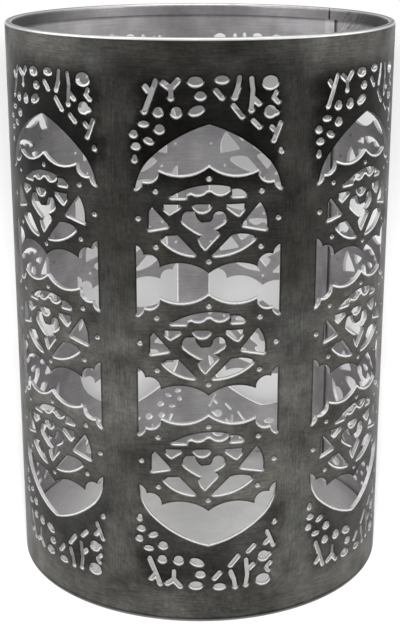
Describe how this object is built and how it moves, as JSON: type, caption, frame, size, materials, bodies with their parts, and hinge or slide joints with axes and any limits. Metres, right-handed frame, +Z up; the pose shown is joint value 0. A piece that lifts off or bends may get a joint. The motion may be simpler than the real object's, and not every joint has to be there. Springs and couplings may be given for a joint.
{
  "type": "punched tin lantern",
  "caption": "Open-topped round candle lantern: rolled sheet-metal wall pierced with arched fretwork windows, hooped rim and foot, raised floor for a candle.",
  "frame": {"origin": "centre of the ring that the lantern stands on, at table height", "axes": "+Z up along the lantern's axis, -Y towards the front, where one window faces almost straight out, +X to the right"},
  "size_m": [0.14, 0.14, 0.2055],
  "materials": {
    "patinated_steel": "dark brushed patina with bright cut edges",
    "rolled_edge": "worn bright steel",
    "bare_steel": "satin bare steel"
  },
  "bodies": {
    "root": {"pierced_wall": "patinated_steel", "rim_hoop": "rolled_edge", "foot_hoop": "patinated_steel", "floor_pan": "bare_steel", "seam_strip": "bare_steel"}
  },
  "joints": []
}
